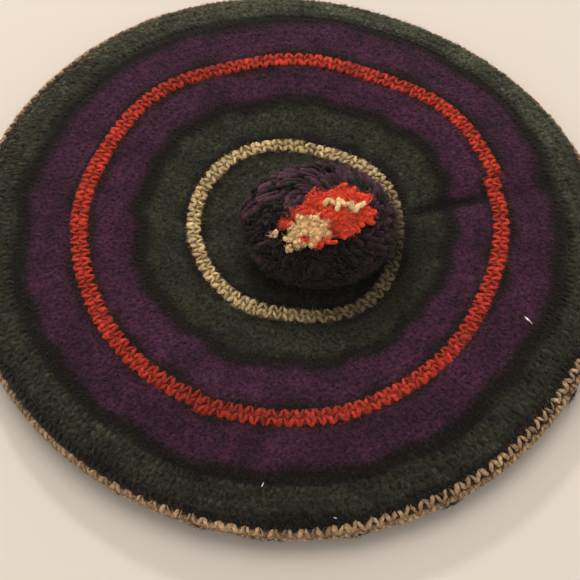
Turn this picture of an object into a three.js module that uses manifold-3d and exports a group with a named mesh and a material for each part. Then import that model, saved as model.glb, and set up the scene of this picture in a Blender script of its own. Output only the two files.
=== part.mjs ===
// Knit beret lying flat on a table: a striped wool crown, the cream rounds of its folded rim, an underside
// that closes in to the head opening, a narrow head band and a pompom of cut yarn on the crown.
// Millimetres, +Z up, origin on the table below the middle of the outline.

import * as THREE from "three";
import { mergeVertices } from "three/addons/utils/BufferGeometryUtils.js";
import Module from "manifold-3d";

const wasm = await Module();
wasm.setup();

// Driving sizes of the knitted wall
const WALL = 3.2;
const GAP = 0.4;
const RIM_RADIUS = 142.5;
const RIM_HEIGHT = 11.5;
const CENTRE_RADIUS = 42;
const CENTRE_HEIGHT = 17.6;
const CREST_RADIUS = 98;
const CREST_HEIGHT = 20.8;
const TABLE_RADIUS = 112;
const OPENING_RADIUS = 80;
const BAND_WIDTH = 12;
const BAND_THICKNESS = 4;

// The cream rounds reach this far along the cloth above and below the outermost line of the fold
const CREAM_ABOVE = 4;
const CREAM_BELOW = 4.6;

// How round the bends are: the reach of each bend's handles along the cloth
const DISH_HANDLE = 24;
const SHOULDER_HANDLE = 22;
const FOLD_HANDLE_UP = 8.5;
const FOLD_HANDLE_DOWN = 7;
const TURN_UNDER_HANDLE = 16;

// The outline wanders from a true circle as waves round the rim: how many, how far out, which way they peak
const OUTLINE_WAVES = [
  { waves: 1, reach: 0.7, peak: 180 },
  { waves: 2, reach: 2.9, peak: -23 },
  { waves: 3, reach: 0.85, peak: 8 },
  { waves: 4, reach: 0.5, peak: 13 },
];

// The rim is carried a little higher or lower as it goes round
const RIM_LIFT_WAVES = [
  { waves: 1, reach: 1.2, peak: 170 },
  { waves: 2, reach: 0.9, peak: 35 },
];

// Between these radii the cloth eases from the even middle to the wandering rim
const WANDER_START = 113;
const WANDER_END = 137;

// The crease where each round of knitting begins and ends, running out to the rim
const CREASE = { angle: 10, depth: 1.6, halfWidth: 4.5, start: 46, end: 121, fade: 12 };

// Facets: sections round the hat, drawn closer together beside the crease, and steps along the cloth
const SECTIONS = 64;
const CREASE_CROWDING = 0.45;
const CROWN_STEPS = 13;
const CROWN_CROWDING = 1.6;
const RIM_STEPS = 4;
const UNDERSIDE_STEPS = 7;
const EVEN_STEPS = 1;
const BAND_ARC_STEPS = 2;

// Pompom: a flattened ball of yarn ends, sewn on a little to the right of the middle
const POMPOM = { x: 13.2, y: -4.2, halfWidth: 36, halfDepth: 32, halfHeight: 15, flattened: 2.5 };
const HEAD = { share: 0.87, sections: 18, rows: 10 };
const LOCKS = { count: 54, sides: 5, rootRadius: 5.2, tipRadius: 2.6, rootShare: 0.7, lean: 3, lowest: -0.6 };

// Colours of the yarns
const GREEN_WOOL = 0x353a31;
const CREAM_WOOL = 0xc4a66c;
const PURPLE_WOOL = 0x40263a;

const degrees = THREE.MathUtils.degToRad;
const smoothstep = THREE.MathUtils.smoothstep;

function waveSum(rows, angle) {
  let sum = 0;
  for (const row of rows) {
    sum += row.reach * Math.cos(row.waves * (angle - degrees(row.peak)));
  }
  return sum;
}

// The wall's outer side as one line from the middle of the crown, over the rim and under to the band
function wallLine() {
  const line = new THREE.Path();
  line.moveTo(0, CENTRE_HEIGHT);
  line.lineTo(CENTRE_RADIUS, CENTRE_HEIGHT);
  line.bezierCurveTo(
    CENTRE_RADIUS + DISH_HANDLE, CENTRE_HEIGHT,
    CREST_RADIUS - DISH_HANDLE, CREST_HEIGHT,
    CREST_RADIUS, CREST_HEIGHT,
  );
  line.bezierCurveTo(
    CREST_RADIUS + SHOULDER_HANDLE, CREST_HEIGHT,
    RIM_RADIUS, RIM_HEIGHT + FOLD_HANDLE_UP,
    RIM_RADIUS, RIM_HEIGHT,
  );
  line.bezierCurveTo(
    RIM_RADIUS, RIM_HEIGHT - FOLD_HANDLE_DOWN,
    TABLE_RADIUS + TURN_UNDER_HANDLE, 0,
    TABLE_RADIUS, 0,
  );
  line.lineTo(OPENING_RADIUS + BAND_WIDTH, 0);
  return line;
}

// A stretch of the wall as a section, out along its inner side and back along its outer side.
// Its steps grow shorter towards the far end as crowding rises above one.
function wallSection(line, from, to, steps, crowding) {
  const whole = line.getLength();
  const outer = [];
  const inner = [];
  for (let step = 0; step <= steps; step++) {
    const share = 1 - Math.pow(1 - step / steps, crowding);
    const along = THREE.MathUtils.lerp(from, to, share) / whole;
    const point = line.getPoint(along);
    const tangent = line.getTangent(along);
    const inward = new THREE.Vector2(tangent.y, -tangent.x);
    outer.push(point);
    inner.push(point.clone().addScaledVector(inward, WALL));
  }
  return [...inner, ...outer.reverse()];
}

// Sections round the hat crowd together beside the crease, so that its narrow fold shows
function crowdedAngle(angle) {
  const fromCrease = angle - degrees(CREASE.angle);
  return angle - CREASE_CROWDING * Math.sin(fromCrease);
}

function creaseDepth(radius, angle) {
  const turn = angle - degrees(CREASE.angle);
  if (Math.cos(turn) < 0) {
    return 0;
  }
  const across = (radius * Math.sin(turn)) / CREASE.halfWidth;
  const begins = smoothstep(radius, CREASE.start, CREASE.start + CREASE.fade);
  const ends = 1 - smoothstep(radius, CREASE.end, CREASE.end + CREASE.fade);
  return CREASE.depth * begins * ends * Math.exp(-across * across);
}

// Carries an even ring of cloth to its place: the wandering outline, the lifted rim and the crease
function drape(geometry, creased) {
  const position = geometry.getAttribute("position");
  for (let i = 0; i < position.count; i++) {
    const x = position.getX(i);
    const y = position.getY(i);
    const radius = Math.hypot(x, y);
    const angle = crowdedAngle(Math.atan2(y, x));
    const share = smoothstep(radius, WANDER_START, WANDER_END);
    const reach = radius + share * waveSum(OUTLINE_WAVES, angle);
    const sink = creased ? creaseDepth(radius, angle) : 0;
    const height = position.getZ(i) + share * waveSum(RIM_LIFT_WAVES, angle) - sink;
    position.setXYZ(i, reach * Math.cos(angle), reach * Math.sin(angle), height);
  }
  return geometry;
}

// A section turned once round the hat's axis, with only its shared corners kept
function turned(section) {
  const geometry = new THREE.LatheGeometry(section, SECTIONS);
  geometry.rotateX(Math.PI / 2);
  geometry.deleteAttribute("normal");
  geometry.deleteAttribute("uv");
  return mergeVertices(geometry, 1e-4);
}

function woolMesh(name, geometry, color, roughness) {
  const material = new THREE.MeshStandardMaterial({ color, roughness, metalness: 0 });
  geometry.computeVertexNormals();
  const mesh = new THREE.Mesh(geometry, material);
  mesh.name = name;
  return mesh;
}

// Length along the line from the middle of the crown to the outermost line of the fold
function lengthToRim(line) {
  const [, , shoulderEnd] = line.getCurveLengths();
  return shoulderEnd;
}

function crownTop(line, rim) {
  const to = rim - CREAM_ABOVE - GAP / 2;
  const section = wallSection(line, 0, to, CROWN_STEPS, CROWN_CROWDING);
  return woolMesh("crown_top", drape(turned(section), true), GREEN_WOOL, 0.95);
}

function rimEdge(line, rim) {
  const from = rim - CREAM_ABOVE + GAP / 2;
  const to = rim + CREAM_BELOW - GAP / 2;
  const section = wallSection(line, from, to, RIM_STEPS, EVEN_STEPS);
  section.push(section[0].clone());
  return woolMesh("rim_edge", drape(turned(section), false), CREAM_WOOL, 0.9);
}

function underside(line, rim) {
  const from = rim + CREAM_BELOW + GAP / 2;
  const to = line.getLength() - GAP / 2;
  const section = wallSection(line, from, to, UNDERSIDE_STEPS, EVEN_STEPS);
  section.push(section[0].clone());
  return woolMesh("underside", drape(turned(section), false), GREEN_WOOL, 0.95);
}

// The band's section is flat below and above, with round edges
function headBand() {
  const round = BAND_THICKNESS / 2;
  const innerCentre = OPENING_RADIUS + round;
  const outerCentre = OPENING_RADIUS + BAND_WIDTH - GAP / 2 - round;
  const line = new THREE.Path();
  line.absarc(outerCentre, round, round, -0.5 * Math.PI, 0.5 * Math.PI, false);
  line.absarc(innerCentre, round, round, 0.5 * Math.PI, 1.5 * Math.PI, false);
  line.closePath();
  const section = line.getPoints(BAND_ARC_STEPS);
  return woolMesh("head_band", turned(section), GREEN_WOOL, 0.95);
}

function solidOf(geometry) {
  geometry.deleteAttribute("normal");
  geometry.deleteAttribute("uv");
  const merged = mergeVertices(geometry, 1e-4);
  const vertProperties = new Float32Array(merged.getAttribute("position").array);
  const triVerts = new Uint32Array(merged.getIndex().array);
  return new wasm.Manifold(new wasm.Mesh({ numProp: 3, vertProperties, triVerts }));
}

function geometryOf(solid) {
  const mesh = solid.getMesh();
  const geometry = new THREE.BufferGeometry();
  geometry.setAttribute("position", new THREE.BufferAttribute(mesh.vertProperties, 3));
  geometry.setIndex(new THREE.BufferAttribute(mesh.triVerts, 1));
  return geometry;
}

// One tapered lock of yarn from its root inside the head to its tip on the pompom's outside.
// The locks spiral down from the top, and each leans a little to one side.
function lockOf(index) {
  const goldenTurn = Math.PI * (3 - Math.sqrt(5));
  const turn = index * goldenTurn;
  const up = THREE.MathUtils.lerp(1, LOCKS.lowest, (index + 0.5) / LOCKS.count);
  const out = Math.sqrt(1 - up * up);
  const outside = new THREE.Vector3(POMPOM.halfWidth, POMPOM.halfDepth, POMPOM.halfHeight);
  const tip = new THREE.Vector3(out * Math.cos(turn), out * Math.sin(turn), up).multiply(outside);
  const root = tip.clone().multiplyScalar(LOCKS.rootShare);
  const sideways = new THREE.Vector3(-Math.sin(turn), Math.cos(turn), 0);
  tip.addScaledVector(sideways, LOCKS.lean * out * Math.sin(3 * turn));
  const growth = tip.clone().sub(root);
  const lock = new THREE.CylinderGeometry(LOCKS.tipRadius, LOCKS.rootRadius, growth.length(), LOCKS.sides);
  const upright = new THREE.Vector3(0, 1, 0);
  lock.applyQuaternion(new THREE.Quaternion().setFromUnitVectors(upright, growth.normalize()));
  const middle = root.add(tip).multiplyScalar(0.5);
  lock.translate(middle.x, middle.y, middle.z);
  return solidOf(lock);
}

// Locks fused to a round head, flattened underneath where the pompom is sewn down
function pompom() {
  const head = new THREE.SphereGeometry(HEAD.share, HEAD.sections, HEAD.rows);
  head.rotateX(Math.PI / 2);
  head.scale(POMPOM.halfWidth, POMPOM.halfDepth, POMPOM.halfHeight);
  let ball = solidOf(head);
  for (let index = 0; index < LOCKS.count; index++) {
    ball = ball.add(lockOf(index));
  }
  const wide = 4 * POMPOM.halfWidth;
  const below = new THREE.BoxGeometry(wide, wide, wide);
  const centreHeight = POMPOM.halfHeight - POMPOM.flattened;
  below.translate(0, 0, -centreHeight - wide / 2);
  const mesh = woolMesh("pompom", geometryOf(ball.subtract(solidOf(below))), PURPLE_WOOL, 1);
  mesh.position.set(POMPOM.x, POMPOM.y, CENTRE_HEIGHT + GAP + centreHeight);
  return mesh;
}

const line = wallLine();
const rim = lengthToRim(line);
const beret = new THREE.Group();
beret.name = "knit_beret";
beret.add(crownTop(line, rim), rimEdge(line, rim), underside(line, rim), headBand(), pompom());

export default beret;
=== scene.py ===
"""Knit beret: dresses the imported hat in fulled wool, stitch by stitch, and sets it on a plain stage."""

import math
from collections import namedtuple

import bpy
import numpy as np
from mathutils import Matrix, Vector


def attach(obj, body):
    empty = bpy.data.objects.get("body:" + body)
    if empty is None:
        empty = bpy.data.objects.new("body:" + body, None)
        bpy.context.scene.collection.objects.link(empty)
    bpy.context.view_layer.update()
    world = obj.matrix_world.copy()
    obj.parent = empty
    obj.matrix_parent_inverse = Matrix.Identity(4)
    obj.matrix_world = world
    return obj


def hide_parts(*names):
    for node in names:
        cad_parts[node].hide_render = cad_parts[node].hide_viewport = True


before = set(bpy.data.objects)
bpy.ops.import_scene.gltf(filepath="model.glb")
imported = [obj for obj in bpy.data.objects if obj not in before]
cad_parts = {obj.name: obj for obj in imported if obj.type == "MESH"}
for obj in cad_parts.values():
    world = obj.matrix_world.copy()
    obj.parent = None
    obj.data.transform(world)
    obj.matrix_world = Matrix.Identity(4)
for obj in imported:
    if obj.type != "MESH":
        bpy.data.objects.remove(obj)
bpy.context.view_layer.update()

bl_info = {
    "name": "Knit Beret",
    "version": (1, 0, 0),
    "blender": (4, 5, 0),
    "location": "View3D > Sidebar > Beret",
    "description": "Builds a fulled wool beret with colour rounds, a folded rim and a pompom",
    "category": "Add Mesh",
}

MM = 0.001
SEED = 41

# Waves round the hat: how many, how far they reach in mm, and the angle in degrees at which they peak;
# a row of no waves is an even shift
Wave = namedtuple("Wave", "waves reach peak")

# The rim wanders from a true circle and is carried a little higher or lower as it goes round
OUTLINE_WAVES = (Wave(1, 0.7, 180), Wave(2, 2.9, -23), Wave(3, 0.85, 8), Wave(4, 0.5, 13))
RIM_LIFT_WAVES = (Wave(1, 1.2, 170), Wave(2, 0.9, 35))

# The rounds of knitting wander too, most of all at the cream ring and at the red one
CREAM_RING_WAVES = (
    Wave(0, -0.5, 0), Wave(1, 4.1, 22), Wave(2, 1.8, -38), Wave(4, 1.0, 37), Wave(5, 0.7, 28))
RED_RING_WAVES = (
    Wave(0, -0.25, 0), Wave(1, 1.9, 79), Wave(2, 0.35, 24), Wave(3, 1.15, 23), Wave(4, 0.65, 30),
    Wave(7, 0.4, -19), Wave(8, 0.5, -3), Wave(9, 0.35, 5))

# The cream rounds sit higher on the fold to the front right and back left
RIM_WAVES = (Wave(0, -1.4, 0), Wave(1, 1.0, 130), Wave(2, 2.0, 52), Wave(4, 0.5, 8), Wave(9, 0.3, 30))

# The dyes run into each other unevenly where two dark yarns meet
DYE_WAVES = (
    Wave(1, 1.0, 249), Wave(2, 0.5, 131), Wave(5, 0.4, 24), Wave(7, 0.4, 15), Wave(8, 0.5, 6),
    Wave(13, 0.7, 100), Wave(19, 0.7, 10), Wave(31, 0.6, 3))

# Stripes of the crown from its middle: the yarn, its outer edge along the cloth in mm, its rounds of
# knitting and the stitches in a round, where 0 is a disc that grows from its middle
Stripe = namedtuple("Stripe", "yarn to rounds stitches")
CROWN_STRIPES = (
    Stripe("green", 43.3, 11, 0),
    Stripe("cream", 49.4, 2, 58),
    Stripe("green", 69.2, 5, 80),
    Stripe("black", 73.0, 1, 96),
    Stripe("purple", 91.0, 5, 108),
    Stripe("red", 98.0, 2, 126),
    Stripe("purple", 119.0, 5, 140),
    Stripe("black", 123.0, 1, 150),
)
CREAM_RING_MIDDLE = 46.5
RED_RING_MIDDLE = 94.5
EDGE_ROUNDS = 4
RIM_ROUNDS = 2
RIM_STITCHES = 156
UNDERSIDE_ROUNDS = 12

# Width of a stitch where the crown grows from its middle, half width of the bright ground under a ring, and
# radius of the fan of faces that closes the cloth's middle, in mm; and faces round the cloth
DISC_STITCH = 4.8
RING_GROUND = 2.4
CENTRE_FAN = 3
CLOTH_SECTIONS = 192

# Dyes of the fulled cloth under the stitches, by outer edge along the cloth in mm, and how much further
# out that edge lies at the back
Dye = namedtuple("Dye", "yarn to back")
CROWN_DYES = (
    Dye("green", 40.6, 0),
    Dye("black", 52.8, 0),
    Dye("green", 66.6, 0),
    Dye("black", 74.0, 0),
    Dye("purple", 88.6, 0),
    Dye("black", 100.4, 0),
    Dye("purple", 116.8, 0),
    Dye("black", 124.8, 0),
    # The dark band from here to the fold is black wool and painted shade: it begins 12 mm further out at the
    # back, so it is wide only at the front
    Dye("green", 136, 12),
    Dye("black", 148.5, 0),
    Dye("green", 400.0, 0),
)

# Red fibres felted into the wool beside the red ring: their share and how far they reach in mm
RED_STAIN = 0.012
RED_STAIN_REACH = 7

# Outside the red ring: the share of light lost away from the back, and near the edge the shares of painted
# light gained, round one angle in degrees and at the front
DARKER_AWAY_FROM_BACK = 0.14
PAINTED_BACK_LIGHT = 1.5
PAINTED_BACK_LIGHT_ANGLE = 58
PAINTED_FRONT_LIGHT = 0.08

# Shares of light taken away by painted shade: the pompom's shadow round its front foot, the crease, and how
# much more the crease loses inside the red ring
POMPOM_PAINTED_SHADOW = 0.62
CREASE_PAINTED_SHADE = 0.3
CREASE_PAINTED_SHADE_MORE = 0.65

# Places where a length of yarn was joined in, so that the rounds step outwards and ease back:
# the angle in degrees, the step in mm and the degrees over which it eases
Join = namedtuple("Join", "angle step ease")
JOINS = (Join(16.4, 3.0, 26), Join(-114, 1.6, 20))

# Stretches of the bright rings that are darker: the angle of the middle of each, the degrees over which it
# fades and the share of light it takes away. The two cream stretches at the front right are painted shadow
# of the pompom; the rest are darker yarn
RingDarkening = namedtuple("RingDarkening", "yarn angle fade share")
RING_SHADOW_AND_DARKENING = (
    RingDarkening("cream", 349, 34, 0.9),
    RingDarkening("cream", 302, 34, 0.78),
    RingDarkening("cream", 88, 12, 0.25),
    RingDarkening("red", 252, 28, 0.35),
    RingDarkening("red", 118, 14, 0.25),
)

# Patches of bright yarn on the pompom, the topmost first: places right of and behind its middle and half
# sizes in mm, turned by some degrees, and how far the ends lie over from upright, as a share
Patch = namedtuple("Patch", "yarn x y half_x half_y turn lie")
POMPOM_PATCHES = (
    Patch("red", -6, -16.5, 2.4, 1.6, 0, 0.3),
    Patch("red", -0.6, -18.8, 1.8, 1.6, 0, 0.3),
    Patch("red", -14.8, -9.1, 2.4, 2.6, 0, 0.3),
    Patch("cream", -19.7, -13, 1.3, 1.3, 0, 0.3),
    Patch("cream", -12.8, -19.4, 1.5, 1.5, 0, 0.3),
    Patch("cream", -5, -12.5, 9.4, 7.2, 12, 0.3),
    Patch("red", 5.5, -4.2, 18.4, 12, 24, 1),
)

# Middle of the knot of bright yarn, in mm right of and behind the middle of the pompom, and its dyes
KNOT = (-4, -10)
POMPOM_DYES = {"red": "bright_red", "cream": "warm_cream"}

# Curls of cream yarn that lie over the red: where each begins, where it is drawn aside and where it ends,
# in mm right of and behind the middle of the pompom
Curl = namedtuple("Curl", "x y aside_x aside_y end_x end_y")
CURLS = (
    Curl(1.6, -2.6, 4.2, 4.6, 7.0, -2.6),
    Curl(7.2, -4.6, 7.4, -0.8, 8.8, 2.6),
    Curl(8.8, 2.0, 10.4, -3.4, 12.4, 0.8),
    Curl(12.4, 0.8, 14.0, -1.4, 13.2, -4.2),
    Curl(14.0, -4.6, 15.4, -0.4, 19.8, 1.8),
)

# Depth of the fibres' roots in the cloth in mm; where the long hairs of the edge grow, in mm along the cloth
# from the rim, and the angle round which they are cream
FIBRE_ROOT = 0.3
HALO_SPAN = (-14, 1)
HALO_CREAM_ANGLE = 135

# Pale lint caught on the wool: angle and distance from the middle along the cloth, the way each fleck
# lies and its length, and how far off the cloth it lies
Fleck = namedtuple("Fleck", "angle along turn long")
LINT = (
    Fleck(-25.1, 114.7, -50, 5.6),
    Fleck(-82.1, 137, -20, 1.6),
    Fleck(-94.8, 123.6, 65, 2.4),
)
LINT_LIFT = 1.6

# Dark tufts of fibre that hang below the rim: angle and distance along the cloth from the rim, and the
# fibres in each
Tuft = namedtuple("Tuft", "angle along")
TUFTS = (Tuft(-105, 5), Tuft(-96, 5), Tuft(-92, 5.5), Tuft(-79, 5), Tuft(-62, 5), Tuft(-33, 4.5))
TUFT_FIBRES = 90


def linear(code):
    """Linear colour of an sRGB hex code."""
    parts = [int(code[i:i + 2], 16) / 255 for i in (1, 3, 5)]
    return tuple(p / 12.92 if p <= 0.04045 else ((p + 0.055) / 1.055) ** 2.4 for p in parts)


def length(name, description, millimetres):
    """A size property that a user sees in the scene's own unit."""
    return bpy.props.FloatProperty(
        name=name, description=description, default=millimetres * MM, unit="LENGTH", precision=4)


def colour(name, description, code):
    """A colour property given by its sRGB hex code."""
    return bpy.props.FloatVectorProperty(
        name=name, description=description, default=linear(code), subtype="COLOR", size=3, min=0, max=1)


class BeretWall(bpy.types.PropertyGroup):
    """Sizes of the knitted wall, the same as the solids'."""

    wall: length("Wall", "Thickness of the fulled wall", 3.2)
    rim_radius: length("Rim radius", "Mean radius of the outermost line of the fold", 142.5)
    rim_height: length("Rim height", "Height of the outermost line of the fold", 11.5)
    centre_radius: length("Centre radius", "Radius of the flat middle of the crown", 42)
    centre_height: length("Centre height", "Height of the middle of the crown", 17.6)
    crest_radius: length("Crest radius", "Radius of the highest ring of the crown", 98)
    crest_height: length("Crest height", "Height of the highest ring of the crown", 20.8)
    table_radius: length("Table radius", "Radius inside which the underside lies on the table", 112)
    opening_radius: length("Opening radius", "Radius of the head opening", 80)
    band_width: length("Band width", "Width of the head band", 12)
    band_thickness: length("Band thickness", "Thickness of the head band", 4)
    cream_above: length("Cream above the fold", "Reach of the cream rounds above the fold", 4)
    cream_below: length("Cream below the fold", "Reach of the cream rounds below the fold", 4.6)
    dish_handle: length("Dish", "Roundness of the dished middle", 24)
    shoulder_handle: length("Shoulder", "Roundness of the shoulder", 22)
    fold_handle_up: length("Fold above", "Roundness of the fold above the rim", 8.5)
    fold_handle_down: length("Fold below", "Roundness of the fold below the rim", 7)
    turn_under_handle: length("Turn under", "Roundness where the underside meets the table", 16)
    wander_start: length("Wander start", "Radius at which the outline starts to wander", 113)
    wander_end: length("Wander end", "Radius at which the outline wanders fully", 137)
    crease_depth: length("Crease depth", "Depth of the crease where the rounds begin", 1.6)
    crease_half_width: length("Crease half width", "Half width of that crease", 4.5)
    crease_start: length("Crease start", "Radius at which the crease begins", 46)
    crease_end: length("Crease end", "Radius at which the crease ends", 121)
    crease_fade: length("Crease fade", "Length over which the crease fades", 12)
    crease_angle: bpy.props.FloatProperty(
        name="Crease angle", description="Way round the hat to the crease",
        default=math.radians(10), subtype="ANGLE")


class BeretYarn(bpy.types.PropertyGroup):
    """Sizes of the yarn and its fibres, and the dyes."""

    stitch_sink: length("Stitch sink", "Depth of the cloth between the stitches", 0.15)
    fibre_radius: length("Fibre radius", "Half thickness of a fibre, drawn coarse enough to show", 0.075)
    fibre_length: length("Fibre length", "Mean length of a loose fibre", 1.7)
    nap_density: bpy.props.FloatProperty(
        name="Nap density", description="Fibres on each square millimetre of cloth", default=1.15, min=0)
    halo: bpy.props.IntProperty(
        name="Halo", description="Number of long hairs at the edge", default=6500, min=0)
    dye_blur: length("Dye blur", "Half width over which two dark dyes meet", 2.3)
    green: colour("Green", "Dark green wool", "#2A2E23")
    purple: colour("Purple", "Dark purple wool", "#3D1B36")
    black: colour("Black", "Black wool", "#110C0D")
    red: colour("Red", "Orange red wool of the rounds", "#D9422E")
    cream: colour("Cream", "Cream wool of the rounds", "#EAD09B")
    bright_red: colour("Bright red", "Orange red wool of the pompom", "#F5502F")
    worn_cream: colour("Worn cream", "Cream wool of the rim, rubbed and soiled", "#D4B18C")
    warm_cream: colour("Warm cream", "Cream wool of the pompom", "#FFDDA6")
    dusty: colour("Dusty purple", "Faded purple wool of the pompom", "#4B3040")
    lint: colour("Lint", "Pale lint", "#EADFE0")


class BeretPompom(bpy.types.PropertyGroup):
    """Place and size of the pompom."""

    across: length("Across", "Place of the pompom to the right of the middle", 13.2)
    back: length("Back", "Place of the pompom behind the middle", -4.2)
    half_width: length("Half width", "Half width of the pompom", 36)
    half_depth: length("Half depth", "Half depth of the pompom", 32)
    half_height: length("Half height", "Half height of the pompom", 15)
    flattened: length("Flattened", "How far the pompom is flattened underneath", 2.5)
    clearance: length("Clearance", "Gap between the pompom and the crown", 0.4)
    strands: bpy.props.IntProperty(
        name="Strands", description="Number of dark strands", default=1000, min=50)


class BeretStage(bpy.types.PropertyGroup):
    """View, light and floor."""

    elevation: bpy.props.FloatProperty(
        name="Elevation", description="Height of the camera above the horizon",
        default=math.radians(60.7), subtype="ANGLE")
    distance: length("Distance", "Distance from the camera to what it looks at", 570)
    target: bpy.props.FloatVectorProperty(
        name="Target", description="Point that the camera looks at",
        default=(0.7 * MM, -27.3 * MM, 11.5 * MM), subtype="XYZ", unit="LENGTH")
    lens: bpy.props.FloatProperty(
        name="Lens", description="Focal length on a 36 mm sensor", default=79.9, unit="CAMERA")
    lamp_power: bpy.props.FloatProperty(
        name="Lamp", description="Power of the small lamp low down behind", default=18, unit="POWER")
    window_power: bpy.props.FloatProperty(
        name="Window", description="Power of the wide soft light above", default=13.5, unit="POWER")
    fill: bpy.props.FloatProperty(
        name="Fill", description="Strength of the light from all round", default=0.55)
    light: colour("Light", "Warm light of the room", "#FFF4E6")
    floor: colour("Floor", "Pale board under the hat", "#EFEAE7")


def smoothstep(value, low, high):
    """Eased share of the way from low to high."""
    share = np.clip((value - low) / (high - low), 0, 1)
    return share * share * (3 - 2 * share)


def unit_length(rows):
    """Directions brought to unit length."""
    return rows / np.linalg.norm(rows, axis=-1, keepdims=True)


def wave_sum(rows, angle):
    """Sum of some waves round the hat, in metres."""
    return sum(row.reach * MM * np.cos(row.waves * (angle - math.radians(row.peak))) for row in rows)


def bend(start, start_handle, end_handle, end, steps=160):
    """Points along a curve with two handles."""
    t = np.linspace(0, 1, steps)[:, None]
    return ((1 - t) ** 3 * start + 3 * (1 - t) ** 2 * t * start_handle
            + 3 * (1 - t) * t ** 2 * end_handle + t ** 3 * end)


class WallLine:
    """The wall's outer side as one line from the middle of the crown, over the rim and under to the band."""

    def __init__(self):
        sizes = bpy.context.scene.beret_wall
        out = np.array((1.0, 0.0))
        up = np.array((0.0, 1.0))
        middle = sizes.centre_height * up
        centre = middle + sizes.centre_radius * out
        crest = np.array((sizes.crest_radius, sizes.crest_height))
        rim = np.array((sizes.rim_radius, sizes.rim_height))
        table = sizes.table_radius * out
        band = (sizes.opening_radius + sizes.band_width) * out
        stretches = (
            np.linspace(middle, centre, 60),
            bend(centre, centre + sizes.dish_handle * out, crest - sizes.dish_handle * out, crest),
            bend(crest, crest + sizes.shoulder_handle * out, rim + sizes.fold_handle_up * up, rim),
            bend(rim, rim - sizes.fold_handle_down * up, table + sizes.turn_under_handle * out, table),
            np.linspace(table, band, 30),
        )
        self.sizes = sizes
        self.points = np.concatenate([stretch[:-1] for stretch in stretches] + [band[None]])
        steps = np.linalg.norm(np.diff(self.points, axis=0), axis=1)
        self.along = np.concatenate([[0], np.cumsum(steps)])
        tangent = np.gradient(self.points, self.along, axis=0)
        self.outward = np.stack([-tangent[:, 1], tangent[:, 0]], axis=1)
        self.rim = self.along[sum(len(stretch) - 1 for stretch in stretches[:3])]
        self.cream_from = self.rim - sizes.cream_above
        self.cream_to = self.rim + sizes.cream_below
        self.end = self.along[-1]

    def at(self, along, above):
        """Radius and height at some distance along the cloth and above it."""
        radius = np.interp(along, self.along, self.points[:, 0])
        height = np.interp(along, self.along, self.points[:, 1])
        radius = radius + above * np.interp(along, self.along, self.outward[:, 0])
        height = height + above * np.interp(along, self.along, self.outward[:, 1])
        return radius, height

    def crease(self, radius, angle):
        """Depth of the crease where each round of knitting begins and ends."""
        sizes = self.sizes
        turn = angle - sizes.crease_angle
        across = radius * np.sin(turn) / sizes.crease_half_width
        begins = smoothstep(radius, sizes.crease_start, sizes.crease_start + sizes.crease_fade)
        ends = 1 - smoothstep(radius, sizes.crease_end, sizes.crease_end + sizes.crease_fade)
        depth = sizes.crease_depth * begins * ends * np.exp(-across * across)
        return np.where(np.cos(turn) > 0, depth, 0)

    def drape(self, radius, angle, height, on_top):
        """Carries an even ring of cloth to its wandering outline, lifted rim and crease."""
        share = smoothstep(radius, self.sizes.wander_start, self.sizes.wander_end)
        reach = radius + share * wave_sum(OUTLINE_WAVES, angle)
        sink = np.where(on_top, self.crease(radius, angle), 0)
        lifted = height + share * wave_sum(RIM_LIFT_WAVES, angle) - sink
        return np.stack([reach * np.cos(angle), reach * np.sin(angle), lifted], axis=-1)

    def place(self, along, angle, above):
        """Places on the knitting by distance along its wandering rounds, angle and height above them."""
        laid = along + round_wander(along, angle)
        radius, height = self.at(laid, above)
        return self.drape(radius, angle, height, laid < self.rim)


def round_wander(along, angle):
    """How far the rounds of knitting wander outwards from true circles."""
    cream = CREAM_RING_MIDDLE * MM
    red = RED_RING_MIDDLE * MM
    rim = bpy.context.scene.beret_wall.wander_end
    near_cream = np.interp(along, (0, cream, red), (0, 1, 0))
    near_red = np.interp(along, (cream, red, rim), (0, 1, 0))
    wander = near_cream * wave_sum(CREAM_RING_WAVES, angle) + near_red * wave_sum(RED_RING_WAVES, angle)
    for join in JOINS:
        past = np.mod(angle - math.radians(join.angle), 2 * math.pi)
        wander = wander + near_red * join.step * MM * np.exp(-past / math.radians(join.ease))
    near_rim = smoothstep(along, rim, 1.02 * rim)
    return wander + near_rim * wave_sum(RIM_WAVES, angle)


def dye_of(yarn):
    """Linear colour of a yarn."""
    return np.array(getattr(bpy.context.scene.beret_yarn, yarn))


def cloth_dye(along, angle):
    """Colour of the fulled cloth, each dark dye running a little into the next."""
    blur = bpy.context.scene.beret_yarn.dye_blur
    uneven = along + wave_sum(DYE_WAVES, angle)
    back = np.maximum(0, np.sin(angle))
    mixed = np.broadcast_to(dye_of(CROWN_DYES[0].yarn), along.shape + (3,)).copy()
    for before, after in zip(CROWN_DYES, CROWN_DYES[1:]):
        edge = (before.to + before.back * back) * MM
        share = smoothstep(uneven, edge - blur, edge + blur)
        mixed += (dye_of(after.yarn) - mixed) * share[..., None]
    stain = RED_STAIN * np.exp(-((along / MM - RED_RING_MIDDLE) / RED_STAIN_REACH) ** 2)
    mixed += stain[..., None] * dye_of("red")
    # Painted shade along the crease and round the pompom's front foot, and painted light near the edge
    shade = (1 - crease_shade(along, angle)) * (1 - foot_shade(along, angle))
    return mixed * (worn(along, angle) * shade)[..., None]


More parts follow.
